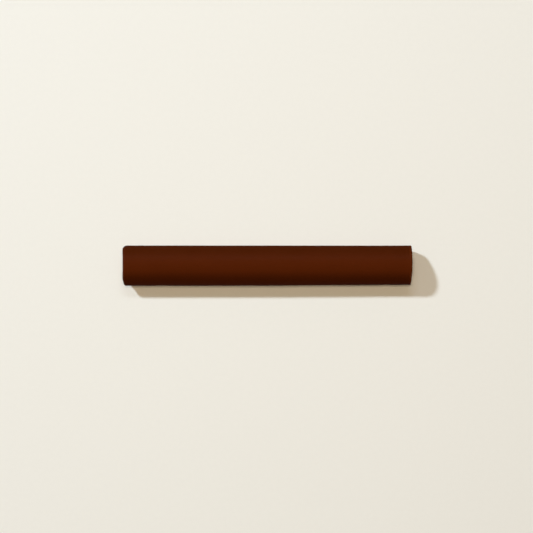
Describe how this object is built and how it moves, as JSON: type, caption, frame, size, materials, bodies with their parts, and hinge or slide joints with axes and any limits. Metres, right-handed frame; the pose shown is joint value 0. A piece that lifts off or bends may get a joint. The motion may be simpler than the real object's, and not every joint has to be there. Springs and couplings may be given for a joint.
{
  "type": "trim tile",
  "caption": "Slim domed ceramic trim tile with a flat keyed back, laid in a row to cap, edge or divide a tiled wall.",
  "frame": {"origin": "middle of the flat back", "axes": "+X along the length to the crisp-cut end, +Y across the width, +Z out of the back to the crown"},
  "size_m": [0.149, 0.0208, 0.0127],
  "materials": {
    "glaze": "satin dark brown glaze over an unglazed back"
  },
  "bodies": {
    "root": {"trim_tile": "glaze"}
  },
  "joints": []
}
